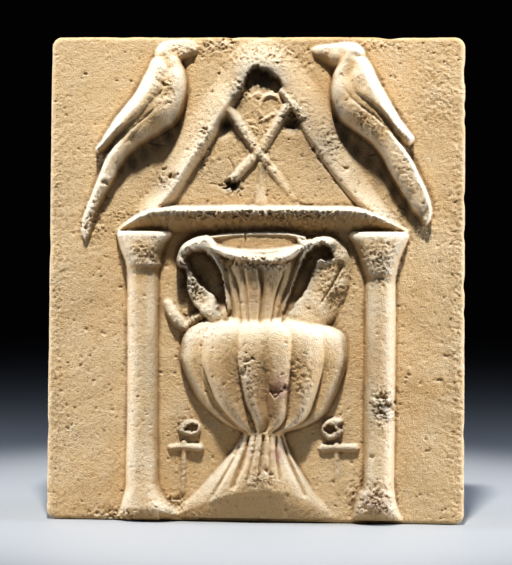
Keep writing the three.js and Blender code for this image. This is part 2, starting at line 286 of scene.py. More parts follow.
def blended(spots, part):
    """A height at each point of the part, blended from a few places' x, z and height."""
    total = weights = 0
    for spot_x, spot_z, height in spots:
        apart = (x[part] - spot_x) ** 2 + (z[part] - spot_z) ** 2
        weight = (apart + BLEND_RADIUS**2) ** BLEND_POWER
        total = total + weight * height
        weights = weights + weight
    return total / weights


def mound(outline, heights, fillet=1.0, power=2.0):
    """A raised form that fills a closed outline and rolls off at its edge."""
    part, share = within(outline)
    section = (1 - (1 - np.maximum(share, 0)) ** power) ** (1 / power)
    lay(part, blended(heights, part) * section + OUTER_FALL * np.minimum(share, 0), fillet)


def pit(outline, floors, fillet=0.8, wall=8):
    """A hole that fills a closed outline of x and z, down to the floors, with steep ragged walls."""
    part, share = within([(a, b, 1) for a, b in outline])
    up_the_wall = np.maximum(PIT_ROUGHNESS * ragged[part] - share, 0)
    dig(part, blended(floors, part) + wall * up_the_wall, fillet)


mound(TYMPANUM, TYMPANUM_HEIGHTS, fillet=2)
strand(APEX, left=(1.4, 1.4), right=(3, 0.5), fillet=3)
strand(LEFT_RAKE, left=(1.5, 0.8), right=(1.2, 1.3), fillet=1.5)
strand(RIGHT_RAKE, left=(1.4, 1.2), right=(2.4, 0.5), fillet=2)
strand(CORNICE, left=(1.5, 1), right=(1.15, 1), fillet=0.8)
pit(APEX_HOLLOW, APEX_HOLLOW_FLOORS, fillet=0.5, wall=12)

# The crossed bars
# The emblem in the gable: two broad, worn bars that cross, with a stub of an upright below and a faint
# loop at the top. The deep corners where they meet the gable's slopes are hollowed a little further,
# and painted shadow in the clay's colour darkens them.
# Rows of such a corner: x, z, radius, depth.
BARS = [
    [(-22, 274.5, 6, 3.5, 10), (-14.5, 264.5, 6.5, 3.8, 8.6), (-7, 254, 6, 4, 7.6),
     (1, 243.5, 5.5, 4, 7.4), (9.5, 233, 5, 4, 7), (17.5, 222, 4.5, 3.5, 6.2), (24.5, 213, 4, 3, 5.8)],
    [(21, 272, 3.5, 6, 10), (14, 261, 3.2, 6, 8.8), (7.5, 251, 3.6, 5.5, 7.8),
     (0.5, 241.5, 4, 5.5, 7.4), (-7.5, 233.5, 4, 5, 7.4), (-14.5, 226, 3.5, 4.5, 7)],
    [(3.5, 236, 4, 4, 6.5), (3.5, 223, 4, 4, 5.6), (3.5, 209.5, 6, 6, 7)],
]
WORN_LOOP = [
    (3, 267), (2.5, 273.5), (5.5, 279.5), (11, 280.5), (16, 276.5), (16.5, 272), (12, 268.5),
    (7, 266), (4, 264.5),
]
JUNCTION = [(17, 283, 4, 3, 9), (24, 274, 6, 4, 10.5), (31, 266, 6, 4, 9.5)]
POCKETS = [(-21, 262, 5, 3.5), (22.5, 262, 5.5, 3.5), (8.5, 235, 3, 2), (-21, 256, 4, 1.5)]
BAR_SECTION = (2.6, 0.9)
LOOP_SECTION = (2, 1)
LOOP_WIDTHS = (2.6, 2.4)
LOOP_HEIGHT = 6
POCKET_STEEPNESS = 1.6
loop = [(loop_x, loop_z, *LOOP_WIDTHS, LOOP_HEIGHT) for loop_x, loop_z in WORN_LOOP]
for bar in BARS:
    strand(bar, left=BAR_SECTION, right=BAR_SECTION, fillet=1.5)
strand(loop, left=LOOP_SECTION, right=LOOP_SECTION, fillet=1.5)
strand(JUNCTION, left=(2, 0.8), right=(2, 0.6), fillet=1.5)
for pocket_x, pocket_z, radius, depth in POCKETS:
    apart = (x - pocket_x) ** 2 + (z - pocket_z) ** 2
    relief -= depth * np.exp(-apart / radius**2 * POCKET_STEEPNESS)

# The columns
# Two flattened round columns under the cornice, each with a flaring capital that has a lip below,
# and a foot that spreads. Rows: z, left edge, right edge, height.
LEFT_COLUMN = [
    (191, -92.5, -56.5, 12), (188.5, -93, -56, 14), (183, -91, -59, 14), (177.5, -89, -61.5, 14),
    (172.5, -87, -62.5, 13.5), (169, -86, -62.5, 13), (165.5, -85.5, -64, 10.5),
    (145.5, -85, -64, 10), (79, -84.5, -64, 9.5), (32, -85, -63.5, 10), (22.5, -85, -62.5, 10.5),
    (14.5, -87, -58.5, 11), (8.5, -88.5, -52, 11), (4, -89.5, -48.5, 8), (0, -90.5, -47.5, 3),
]
RIGHT_COLUMN = [
    (191.5, 63, 100, 11), (188.5, 61.5, 101, 14), (183, 64.5, 99, 14), (176, 67.5, 96, 14),
    (169.5, 69.5, 94, 13.5), (164, 71.5, 93, 13), (161, 72.5, 92.5, 11), (147, 72, 92.5, 10.5),
    (80.5, 72, 92.5, 10), (29, 72, 92, 10.5), (21, 69, 92.5, 11), (14.5, 66.5, 93.5, 11.5),
    (7.5, 65, 95.5, 9), (2.5, 64, 97, 3),
]
COLUMN_SECTION = (2.8, 0.7)
PANEL_MARGIN = 6


def panel(rows):
    """The part of the face between the top and bottom rows, where each point lies from the left edge
    (-1) to the right edge (1), and the height there."""
    line = spline(rows)[::-1]
    left_end, right_end = line[:, 1].min() - PANEL_MARGIN, line[:, 2].max() + PANEL_MARGIN
    part = window(left_end, right_end, line[0, 0], line[-1, 0])
    left, right, height = (np.interp(z[part], line[:, 0], line[:, k]) for k in (1, 2, 3))
    return part, (2 * x[part] - left - right) / (right - left), height


for column in (LEFT_COLUMN, RIGHT_COLUMN):
    part, share, height = panel(column)
    lay(part, height * crown(share, *COLUMN_SECTION), fillet=1.2)

# The vase's body
# A full round body with six broad ribs, which narrow into a waist. The grooves between the ribs
# start under the shoulder and cut deepest low down, each at one angle around the body.
# The rib edges are in degrees around the body. Rows of the rib depths: z, depth.
BELLY = [
    (137, -22, 30, 2), (135.3, -30, 37, 9), (133, -34.5, 41.5, 14), (130, -40.5, 49.5, 18),
    (126, -45.5, 57, 21), (121, -48, 60, 22.6), (113, -49, 61, 23.2), (105, -49, 60.5, 22.8),
    (92, -43.5, 56.5, 21.2), (80.5, -37, 51.5, 18.8), (70.5, -27, 45, 16), (64, -17.5, 34, 13.6),
    (60, -8.5, 21.5, 11.6), (57, -6.5, 19.5, 10),
]
RIB_EDGES = [-90, -46, -17, 1.5, 20, 46, 90]
RIB_DEPTHS = [
    (57, 2.5), (64, 4), (80, 5.6), (93, 5.6), (102, 4.4), (110, 2.8), (120, 1.6), (135, 0.8),
]
RIB_ROUNDNESS = 0.8
RIB_LEAN = 0.7
HAND_MARKS = 0.55
MARK_SPREAD = 0.1
MARK_COUNT = 61
BELLY_SECTION = (2, 0.5)


def ribbed(share, edges, roundness):
    """How far a ribbed body stands out at each share of its width: 1 on a rib, 0 in a groove. Each
    rib's crest lies near its outer groove, and tool marks run down it."""
    angle = np.degrees(np.arcsin(np.clip(share, -1, 1)))
    rib = np.clip(np.searchsorted(edges, angle, side="right") - 1, 0, len(edges) - 2)
    start, end = np.take(edges, rib), np.take(edges, rib + 1)
    across = np.clip((angle - start) / (end - start), 0, 1)
    leaned = np.where(start + end < 0, across, 1 - across) ** RIB_LEAN
    side = (rib == 0) & (across < 0.5) | (rib == len(edges) - 2) & (across > 0.5)
    marks = np.random.default_rng(21).normal(0, MARK_SPREAD, MARK_COUNT)
    tooled = HAND_MARKS * np.interp(angle, np.linspace(-90, 90, MARK_COUNT), marks)
    return np.where(side, 1, np.sin(np.pi * np.clip(leaned, 0, 1)) ** roundness) + tooled


part, share, height = panel(BELLY)
rib_depth = np.interp(z[part], *zip(*RIB_DEPTHS))
furrows = rib_depth * (1 - ribbed(share, RIB_EDGES, RIB_ROUNDNESS))
lay(part, height * crown(share, *BELLY_SECTION) - furrows, fillet=1.0)

# The vase's neck and foot
# The neck opens like a trumpet into the mouth, with uneven hand-cut flutes. The foot spreads from
# the waist as a fan of ribs, cut off below in a low arch over the slab's bottom edge.
# Rows of a flute or groove: x, z, half width, depth. Rows of the arch: x, z.
NECK = [
    (181, -35, 36, 16), (175.5, -30.5, 31.5, 16), (171.5, -27, 29, 16), (166.5, -24, 27, 15.5),
    (158.5, -21.5, 24.5, 14), (149, -19.5, 21.5, 13), (139.5, -17.5, 19, 13),
    (131.5, -17, 17.5, 13.5),
]
NECK_FLUTES = [
    [(-20.5, 165, 0.9, 0.6), (-15.5, 146, 1.1, 0.9), (-14.5, 132, 1, 0.6)],
    [(-16.5, 169, 1.8, 1.6), (-11.5, 156, 2.4, 2.6), (-8.5, 132, 2.2, 2.4)],
    [(-7.5, 166, 1.6, 1.6), (-5.5, 153, 1.6, 1.8), (-3.5, 132, 1.5, 1.4)],
    [(3.5, 166.5, 2.6, 2.8), (5, 151.5, 2.6, 3.4), (3.5, 132, 2.2, 2.6)],
    [(19, 165, 1.1, 1.5), (14.5, 151.5, 1.4, 2.6), (11, 132, 1.3, 2.2)],
]
FOOT = [
    (60, -6.5, 19, 11.5), (54.5, -9.5, 21, 12.5), (48.5, -13.5, 23.5, 13), (42.5, -18, 27, 13.5),
    (36, -23.5, 30.5, 13.5), (28.5, -30, 35, 13), (21, -36.5, 40, 11.5), (13, -44.5, 46.5, 9.5),
    (6, -52.5, 52.5, 6.5), (3, -55, 54, 5),
]
FOOT_GROOVES = [
    [(-7, 56.5, 1.2, 2.2), (-13, 42.5, 1.6, 2.4), (-23.5, 23.5, 1.8, 1.6), (-31, 12, 1.4, 0.4)],
    [(-3, 57, 1.6, 3.8), (-6.5, 42.5, 2.6, 4.4), (-13, 24.5, 3, 2)],
    [(1.5, 58, 0.8, 2), (0, 45, 0.9, 2), (-4.5, 27, 0.9, 1)],
    [(6.5, 58, 1.4, 4.4), (5.5, 45, 1.5, 4), (3, 27, 1.6, 1.4)],
    [(10.5, 58, 0.7, 1.6), (10.5, 44, 0.9, 1.6), (10.5, 26, 0.9, 0.8)],
    [(14.5, 57.5, 1.1, 3), (15, 45.5, 1.4, 3), (17, 30, 1.5, 1.4)],
    [(17.5, 57, 1.5, 3.6), (23, 41.5, 2.4, 4), (33.5, 19, 2.2, 1.6)],
    [(21, 54, 1, 2.2), (28, 39, 1.3, 2.8), (43.5, 14, 1.3, 1)],
]
ARCH = [
    (-62, 0), (-48.5, 4.5), (-40, 8), (-31, 11.5), (-21.5, 15), (-11.5, 17.5), (5.5, 19),
    (23.5, 18.5), (31, 16.5), (37.5, 13.5), (44.5, 9), (50, 6.5), (62, 1),
]
ARCH_FLOOR = 1.5
ARCH_SLOPE = 0.42
ARCH_RISE = 1.0
ARCH_REACH = 40
NECK_SECTION = (2.2, 0.5)
FOOT_SECTION = (1.8, 0.6)

part, share, height = panel(NECK)
lay(part, height * crown(share, *NECK_SECTION), fillet=0.8)
for flute in NECK_FLUTES:
    groove(flute)
part, share, height = panel(FOOT)
lay(part, height * crown(share, *FOOT_SECTION), fillet=1.0)
for cut in FOOT_GROOVES:
    groove(cut)
part = window(ARCH[0][0], ARCH[-1][0], 0, ARCH_REACH)
arch = spline(ARCH)
above_arch = z[part] - np.interp(x[part], arch[:, 0], arch[:, 1])
arch_form = ARCH_FLOOR + ARCH_SLOPE * z[part] + ARCH_RISE * np.maximum(above_arch, 0)
dig(part, arch_form, fillet=3.5)

# The vase's mouth
# An oval mouth seen a little from above: a broad near lip that slopes in, a hollow behind it, and
# the thin far rim under the cornice, with an old break across it.
NEAR_LIP = [
    (-33, 184, 3, 3, 16), (-26, 180, 5, 3.4, 18), (-18, 176.5, 7.5, 3.6, 19), (-8, 174, 9.5, 4, 20),
    (3, 172.5, 11, 4.2, 20), (14, 173, 10.5, 4.2, 20), (23, 176, 8, 3.8, 19),
    (30, 180.5, 5, 3.4, 18), (36, 184.5, 3, 3, 16),
]
FAR_RIM = [
    (-31.5, 186.5, 1.6, 1.6, 12), (-19.5, 188.5, 1.5, 1.5, 9), (-7, 189.3, 1.5, 1.5, 8.5),
    (8.5, 189.6, 1.5, 1.5, 8.5), (21.5, 189.3, 1.5, 1.5, 9), (32, 187, 1.6, 1.6, 12),
]
HOLLOW_MIDDLE = (0.5, 184.4)
HOLLOW_HALF = (29, 5.4)
HOLLOW_FLOOR = 7.5
HOLLOW_SHARE = 0.86
HOLLOW_WALL = 30
FLOOR_FALL = 40
MOUTH_WINDOW = (-34, 36, 176, 191)
part = window(*MOUTH_WINDOW)
across_hollow = np.hypot(
    (x[part] - HOLLOW_MIDDLE[0]) / HOLLOW_HALF[0], (z[part] - HOLLOW_MIDDLE[1]) / HOLLOW_HALF[1]
)
lay(part, HOLLOW_FLOOR - FLOOR_FALL * np.maximum(across_hollow - 1, 0), fillet=0.6)
strand(FAR_RIM, left=(2, 0.5), right=(2, 0.5), fillet=0.6)
strand(NEAR_LIP, left=(1.5, 0.9), right=(2, 0.5), fillet=0.8)
dig(part, HOLLOW_FLOOR + HOLLOW_WALL * np.maximum(across_hollow - HOLLOW_SHARE, 0), fillet=1.0)

# The vase's handles
# A loop handle on each side from lip to shoulder: the left one crumbling, with a deep opening and a
# thumb-like spur at its foot, the right one a broad flat strap beside a narrow opening.
# Rows of a form: x, z, the width of its rounded edge. Rows of its heights: x, z, height.
LEFT_HANDLE = [
    (-29, 188, 4), (-36.5, 188.5, 4), (-43.5, 186, 4), (-49, 182, 4), (-51.5, 176.5, 3),
    (-52.5, 171, 2.5), (-50.5, 168, 2), (-46.5, 166.5, 2), (-45.5, 162.5, 2), (-45.5, 156.5, 2),
    (-44.5, 150.5, 2), (-41.5, 144.5, 2), (-37.5, 139.5, 2.5), (-32.5, 134, 4), (-25, 128.5, 5),
    (-14.5, 139.5, 5), (-17, 159.5, 5), (-19.5, 176, 5),
]
LEFT_HANDLE_HEIGHTS = [
    (-34.5, 184, 17), (-43.5, 182.5, 16), (-49.5, 174, 11.5), (-42.5, 161, 8), (-36.5, 149, 7),
    (-26.5, 136, 11),
]
LEFT_OPENING = [
    (-44.5, 171), (-44.5, 175), (-40.5, 177.5), (-34.5, 177.5), (-29.5, 174), (-25.5, 168.5),
    (-22.5, 161.5), (-21, 153.5), (-19, 144), (-17.5, 134), (-21, 134), (-24.5, 142.5),
    (-27.5, 150), (-31.5, 152.5), (-36.5, 157.5), (-41, 164.5),
]
RIGHT_HANDLE = [
    (27, 187.5, 4), (35, 186.5, 4), (40.5, 188.5, 4), (47, 189, 5), (53.5, 187, 7), (59, 182.5, 9),
    (62, 175.5, 10), (63, 165.5, 10), (61.5, 155, 10), (57.5, 145, 10), (52.5, 135, 10),
    (45, 126.5, 8), (28.5, 126.5, 6), (16.5, 132, 5), (17.5, 146.5, 4), (25, 166.5, 4),
    (28.5, 179.5, 4),
]
RIGHT_HANDLE_HEIGHTS = [
    (36.5, 183, 17), (46.5, 185, 14.5), (56, 180, 6.5), (58, 165, 3.5), (46, 162, 7), (44, 152, 7),
    (54, 145, 3), (38.5, 142.5, 8.5), (28.5, 132, 10.5),
]
RIGHT_OPENING = [
    (50.5, 175), (49.5, 179.5), (45, 182), (40.5, 181.5), (36, 178), (32, 172.5), (28.5, 164.5),
    (25.5, 156), (22, 147), (18.5, 138), (18.5, 132.5), (22.5, 138), (27, 144.5), (31.5, 151),
    (35, 158.5), (37.5, 166), (39.5, 172), (42.5, 175), (47, 174),
]
LEFT_OPENING_FLOORS = [(-40, 172, -1), (-30, 160, -1), (-24, 148, 2), (-19, 134, 8)]
RIGHT_OPENING_FLOORS = [(46, 178, 1), (35, 168, 0), (28, 153, 1), (22, 140, 5), (18.5, 132, 9)]
THUMB = [
    (-57.5, 143, 3, 3.5, 2.5), (-55, 138, 4, 4.5, 4.5), (-51, 132.5, 4, 4.5, 5.5),
    (-46.5, 129, 3.5, 4, 5),
]
STRAP_FOOT = [(-43, 131, 3, 3.5, 4), (-36.5, 135.5, 4, 4, 6), (-27.5, 138.5, 4, 5, 8)]
STRAP_GROOVES = [
    [(57.5, 171.5, 1, 1.6), (54.5, 163.5, 1.3, 2.4), (49.5, 154.5, 1.3, 2.4), (42.5, 143.5, 1, 1.4)],
    [(60.5, 149, 0.6, 0.6), (56.5, 144, 0.9, 1), (52, 138, 0.6, 0.6)],
    [(-50.5, 171, 0.7, 0.8), (-46, 168.5, 0.9, 1.4), (-42.5, 160, 0.8, 1.0)],
]
mound(LEFT_HANDLE, LEFT_HANDLE_HEIGHTS)
mound(RIGHT_HANDLE, RIGHT_HANDLE_HEIGHTS, fillet=2)
strand(THUMB, left=(2, 0.6), right=(2, 0.5), fillet=1)
strand(STRAP_FOOT, left=(2, 0.8), right=(2, 0.8), fillet=1.5)
pit(LEFT_OPENING, LEFT_OPENING_FLOORS)
pit(RIGHT_OPENING, RIGHT_OPENING_FLOORS)
for cut in STRAP_GROOVES:
    groove(cut)

# The birds
# A long-tailed bird on each slope of the gable, head at the top edge and facing in. Each is a full
# drop-shaped body that runs out into a long tail, with a folded wing whose lower edge stands over
# it.
LEFT_BODY = [
    (-53.5, 306, 5), (-49.5, 300.5, 7), (-47, 294, 8), (-46, 286, 9), (-47, 277.5, 10),
    (-50, 268.5, 12), (-54, 262, 13), (-62, 256.5, 13), (-71.5, 251, 12), (-78, 247, 9),
    (-84.5, 241, 7), (-89.5, 234, 5), (-93, 227, 4.5), (-98, 219, 4), (-102.5, 211, 3.5),
    (-106.5, 203, 3.5), (-108.5, 195, 3), (-111, 187.5, 2), (-114, 186, 2), (-116.5, 193.5, 3),
    (-114, 204, 4), (-109.5, 215.5, 4), (-105, 227, 4), (-100.5, 239, 5), (-94, 250, 6),
    (-88, 260.5, 8), (-85.5, 274, 9), (-79, 286, 9), (-73.5, 296.5, 8), (-68, 306, 6),
]
LEFT_BODY_HEIGHTS = [
    (-60, 304, 9), (-58, 286, 14.5), (-61.5, 271, 16), (-73.5, 258.5, 13.5), (-84.5, 246, 10.5),
    (-97.5, 229, 8), (-106.5, 209, 6), (-112.5, 191, 4),
]
LEFT_HEAD = [
    (-67, 305, 6), (-67, 311, 6), (-62.5, 316, 6), (-53.5, 317.5, 6), (-45.5, 317, 5),
    (-40, 313.5, 4), (-41, 309.5, 2.5), (-46, 307, 2), (-50, 305, 2.5), (-54.5, 300.5, 5),
]
LEFT_HEAD_HEIGHTS = [(-61, 305, 9), (-53, 310, 5), (-44, 311, 3)]
LEFT_WING = [
    (-65.5, 306, 6), (-71.5, 299.5, 8), (-75.5, 290.5, 9), (-81, 282.5, 9), (-87, 275, 8.5),
    (-93.5, 267, 7.5), (-99, 258.5, 5.5), (-103.5, 251, 4), (-107, 245.5, 2.5), (-105.5, 243, 3),
    (-101.5, 244.5, 4.5), (-96.5, 247.5, 5.5), (-90.5, 251.5, 6.5), (-84, 256, 7),
    (-77.5, 260.5, 7), (-70.5, 265.5, 8), (-63.5, 271.5, 9), (-56.5, 280, 10), (-53.5, 290, 10),
    (-56, 300.5, 8),
]
LEFT_WING_HEIGHTS = [
    (-62, 295.5, 15.5), (-66.5, 282.5, 17), (-76.5, 271, 16.5), (-86.5, 261, 14.5),
    (-96.5, 252.5, 12), (-104, 246.5, 9),
]
RIGHT_BODY = [
    (51.5, 298, 6), (49.5, 291, 8), (48.5, 283, 10), (49.5, 275, 12), (52, 268, 13),
    (56.5, 263, 13), (62.5, 258.5, 13), (69.5, 253.5, 12), (76, 248.5, 10), (81.5, 242, 9),
    (85.5, 234.5, 8), (89.5, 227, 8), (93.5, 220.5, 8), (97.5, 214, 7.5), (102, 206.5, 6),
    (107, 201, 4), (111, 196.5, 2.5), (115, 200, 2), (115.5, 207.5, 2), (112.5, 218, 2.2),
    (107.5, 228.5, 2.5), (103, 238, 2.5), (97.5, 246.5, 3), (91.5, 255.5, 4), (86, 267.5, 7),
    (81, 281, 8), (75.5, 294, 8), (69.5, 306, 7), (58.5, 310, 6),
]
RIGHT_BODY_HEIGHTS = [
    (58.5, 296, 13.5), (58, 281, 16), (63, 271, 16.5), (72, 260, 14.5), (83.5, 249, 12.5),
    (92.5, 239, 12.5), (100.5, 226.5, 12), (108, 212.5, 10.5), (113, 202, 7),
]
RIGHT_HEAD = [
    (36, 310.5, 2), (38, 313, 2.5), (43.5, 314.5, 3), (50.5, 315.5, 4), (59.5, 316.5, 6),
    (67.5, 314.5, 6), (71.5, 307.5, 6), (66, 299.5, 8), (58, 295.5, 8), (52, 297.5, 8),
    (47.5, 301, 7), (42, 305, 5), (38, 307, 3),
]
RIGHT_HEAD_HEIGHTS = [(62, 306, 14), (54, 306, 10), (46, 309.5, 5.5), (38.5, 311, 3)]
RIGHT_WING = [
    (62, 307.5, 7), (69.5, 308.5, 8), (75, 302, 8), (80, 292, 8), (85.5, 282, 8), (91, 272.5, 7),
    (96, 264.5, 6), (101, 257.5, 4), (104, 252.5, 2.5), (100.5, 248.5, 3), (95.5, 249.5, 4.5),
    (90, 253.5, 5.5), (85.5, 259, 6), (80, 265, 6.5), (74.5, 269.5, 6.5), (68.5, 273, 7),
    (62, 277.5, 7), (57.5, 283.5, 8), (56, 291.5, 9), (57.5, 301, 9),
]
RIGHT_WING_HEIGHTS = [
    (64, 301, 14.5), (67.5, 290, 17), (74.5, 281, 18), (83, 271.5, 17), (90.5, 261.5, 14.5),
    (98, 254, 11),
]
WING_GROOVES = [
    [(-64, 272.5, 0.8, 0.6), (-72, 266, 1, 1.2), (-80, 259.5, 1, 1.2), (-90, 252, 0.8, 0.6)],
    [(-73.5, 262.5, 0.7, 0.6), (-80.5, 254, 0.8, 1), (-87, 248.5, 0.7, 0.5)],
    [(56, 288, 1, 0.5), (60, 280.5, 1, 1), (69, 272.5, 1, 1.2), (80, 264.5, 1, 1.4),
     (90, 253, 0.9, 0.8)],
]
mound(LEFT_BODY, LEFT_BODY_HEIGHTS)
mound(LEFT_HEAD, LEFT_HEAD_HEIGHTS, fillet=5, power=1.5)
mound(LEFT_WING, LEFT_WING_HEIGHTS, fillet=0.6, power=1.5)
mound(RIGHT_BODY, RIGHT_BODY_HEIGHTS)
mound(RIGHT_HEAD, RIGHT_HEAD_HEIGHTS, fillet=2, power=1.5)
mound(RIGHT_WING, RIGHT_WING_HEIGHTS, fillet=0.6, power=1.5)
for cut in WING_GROOVES:
    groove(cut)

# The small staffs
# Beside the vase's foot stand two small staffs with a crossbar and a ring at the top, the left one
# worn down to a lump with a hole in it.
STAFFS = [
    [(-46.5, 52, 2, 2, 2.5), (-46.5, 39, 1.8, 1.8, 1.8), (-47, 20, 1.5, 1.5, 0.8)],
    [(-55.5, 48.5, 2, 2, 2), (-47, 49.5, 2.2, 2.4, 3), (-36, 49, 2.2, 2.8, 3.5)],
    [(54, 52, 2, 2, 2.5), (54.5, 37, 2, 2, 1.5), (55.5, 20, 1.6, 1.6, 0.8)],
    [(45, 50, 2, 3, 3), (55.5, 50.5, 2, 3.2, 3.5), (66.5, 50.5, 2, 3, 3)],
]
LEFT_RING = [
    (-50.5, 61, 3), (-46.5, 66, 4), (-40.5, 67, 4), (-35.5, 63.5, 3), (-36, 58.5, 2.5),
    (-42, 56.5, 2), (-48.5, 57.5, 3),
]
RIGHT_RING = [
    (44, 60, 2.5), (44.5, 65.5, 2.5), (48, 68.5, 2.5), (54, 69.5, 2.5), (58.5, 67.5, 2),
    (55.5, 64, 1.5), (58.5, 60.5, 2), (53.5, 56, 2), (48, 55, 2),
]
RING_HOLES = [
    [(-45.5, 61.5), (-42.5, 64), (-38, 63.5), (-38.5, 60), (-43, 59.5)],
    [(47, 61), (47.5, 64.5), (52, 64.5), (53.5, 60.5), (50, 59)],
]
LEFT_RING_HEIGHTS = [(-43, 61, 3.5)]
RIGHT_RING_HEIGHTS = [(50, 62, 4)]
RING_HOLE_FLOOR = -0.5
for staff in STAFFS:
    strand(staff, fillet=0.8)
mound(LEFT_RING, LEFT_RING_HEIGHTS)
mound(RIGHT_RING, RIGHT_RING_HEIGHTS)
for hole in RING_HOLES:
    pit(hole, [(*hole[0], RING_HOLE_FLOOR)])

# Wear
# Handling and weather have softened every crest. The clay is gritty all over, wiped across while it
# was wet, pitted and in places crumbling, with a few deeper holes and cracks.
# Rows of a crumbling place: x, z, half width, half height, strength. Rows of a hole: x, z, radius.
# Rows of a crack: x, z, half width, depth.
CREST_WEAR = 0.55
GRIT = 0.08
LOOSE_GRIT = 5
LUMPS = 0.015
RUBBLE = 0.5
CRUMBS = 0.9
RUBBLE_TOP = 0.4
CRUMBLE_DEPTH = 0.6
PIT_COUNT = 2000
PIT_RADIUS = 0.45
PIT_SPREAD = 0.55
PIT_RARITY = 4
HOLE_REACH = 2.5
HOLE_SQUASH = 1.3
HOLE_RAGGEDNESS = 0.35
HOLE_DEPTH = 0.95
HOLE_STEEPNESS = 1.5
CRUMBLY = [
    (-11, 285, 8, 8, 1.0), (-60, 225, 8, 6, 0.8), (-15, 222, 6, 5, 1.4), (24, 268, 10, 9, 1.1),
    (50, 250, 11, 14, 0.6), (-72, 175, 11, 8, 0.7), (82, 174, 12, 12, 0.8), (-46, 168, 5, 10, 1.3),
    (-41, 154, 7, 12, 1.3), (-40, 135, 10, 6, 1.0), (32, 177, 7, 6, 1.2), (0, 172, 30, 4, 1.2),
    (-36, 186, 12, 4, 0.7), (40, 186, 12, 4, 0.7), (85, 77, 9, 12, 1.1), (78, 18, 15, 11, 1.1),
    (-54, 11, 11, 7, 1.0), (5, 30, 9, 7, 0.6), (95, 262, 18, 14, 0.3), (-60, 286, 9, 13, 0.5),
    (-3, 95, 12, 16, 0.4), (30, 95, 9, 14, 0.45), (72, 262, 10, 12, 0.4), (5, 202, 80, 5, 1.4),
    (5, 195, 85, 5, 0.5), (-88, 4, 18, 5, 1.0), (120, 285, 14, 24, 0.4), (-50, 312, 14, 7, 0.6),
    (-30, 314, 16, 6, 0.6), (80, 315, 20, 5, 0.6), (5, 306, 26, 9, 0.7), (-38, 128, 16, 5, 0.6),
    (-35, 250, 8, 22, 0.6), (0, 252, 14, 20, 0.5), (52, 160, 12, 20, 0.5), (-108, 200, 7, 16, 0.7),
    (97, 230, 12, 18, 0.3), (-45, 62, 9, 7, 0.6), (52, 63, 9, 7, 0.4), (-48, 34, 5, 14, 0.3),
    (-132, 150, 6, 160, 0.25), (132, 150, 6, 160, 0.3), (0, 50, 12, 8, 0.5),
]
HOLES = [
    (-34, 255.5, 1.9), (-54.5, 226.5, 2.6), (-57.5, 227, 1.8), (-15.5, 221.5, 3.4), (-18.5, 224, 2),
    (-101.5, 229, 1.3), (-100, 223, 1.9), (-113, 193, 1.5), (-115, 196, 1.2), (-4, 107, 1.7),
    (-6.5, 99.5, 2), (69.5, 261.5, 1.2), (84, 84, 2.6), (87, 78, 3.2), (83, 74, 2), (77, 45, 1.4),
    (38, 245.5, 1.6), (60, 233, 1.5), (14, 88, 2.6), (20, 90, 2), (8, 36, 1.6), (12, 33, 1.3),
    (-20, 318, 1.4), (-17, 316, 1.2), (29, 171, 1.6), (36, 174, 1.3), (-62, 232, 1.2),
    (44, 262, 1.3), (80, 20, 2.2), (72, 12, 1.8), (86, 12, 1.6), (-56, 12, 1.6), (-50, 15, 1.3),
]
CRACKS = [
    [(-34.5, 319, 0.5, 0.6), (-35, 315.5, 0.7, 1), (-36, 311.5, 0.5, 0.5)],
    [(-18.5, 240, 0.6, 0.8), (-15, 233, 0.7, 1), (-15.5, 226, 0.6, 0.8)],
    [(-30, 223, 0.6, 0.6), (-22, 221.5, 0.8, 0.9), (-17, 222.5, 0.7, 0.8)],
    [(-7, 190.5, 0.7, 1.4), (-6.5, 185, 0.8, 1.6), (-7.5, 180, 0.6, 0.8)],
    [(26.5, 211.5, 0.6, 0.6), (32, 209, 0.7, 0.8), (38, 209, 0.6, 0.6)],
    [(-50, 166, 0.6, 0.8), (-44, 158, 0.8, 1.2), (-43, 152, 0.6, 0.8)],
    [(10, 92, 0.7, 1.2), (14, 84, 0.9, 1.8), (20.5, 92, 0.8, 1.4)],
    [(-60, 248.5, 0.6, 0.6), (-72, 250, 0.6, 0.6), (-78, 254, 0.5, 0.5)],
]


def patches(rows):
    """Soft-edged patches: the strongest of the rows' x, z, half width, half height and strength."""
    field = np.zeros_like(x)
    for middle_x, middle_z, half_x, half_z, strength in rows:
        reach = ((x - middle_x) / half_x) ** 2 + ((z - middle_z) / half_z) ** 2
        field = np.maximum(field, strength * np.exp(-reach))
    return field


relief = smoothed(relief, CREST_WEAR)
for crack in CRACKS:
    groove(crack, power=1)
crumble = patches(CRUMBLY)
coarse = RUBBLE * mottle(size=2.4, seed=5) + CRUMBS * mottle(size=1.0, seed=9)
relief -= crumble * np.maximum(coarse, -RUBBLE_TOP) * CRUMBLE_DEPTH
gritty = GRIT * mottle(size=0.8, seed=6) * (1 + LOOSE_GRIT * crumble)
relief += LUMPS * mottle(size=3.2, seed=13) + gritty
holes = list(HOLES)
draw = np.random.default_rng(7)
for k in range(PIT_COUNT):
    pit_x, pit_z = draw.uniform(-WIDTH / 2, WIDTH / 2), draw.uniform(0, HEIGHT)
    radius = PIT_RADIUS + PIT_SPREAD * draw.random() ** PIT_RARITY
    holes.append((pit_x, pit_z, radius))
for hole_x, hole_z, radius in holes:
    rim = HOLE_REACH * radius
    part = window(hole_x - rim, hole_x + rim, hole_z - rim, hole_z + rim)
    apart = (x[part] - hole_x) ** 2 + ((z[part] - hole_z) * HOLE_SQUASH) ** 2
    reach = apart / radius**2 * (1 + HOLE_RAGGEDNESS * ragged[part])
    relief[part] -= radius * HOLE_DEPTH * np.exp(-(np.maximum(reach, 0) ** HOLE_STEEPNESS))

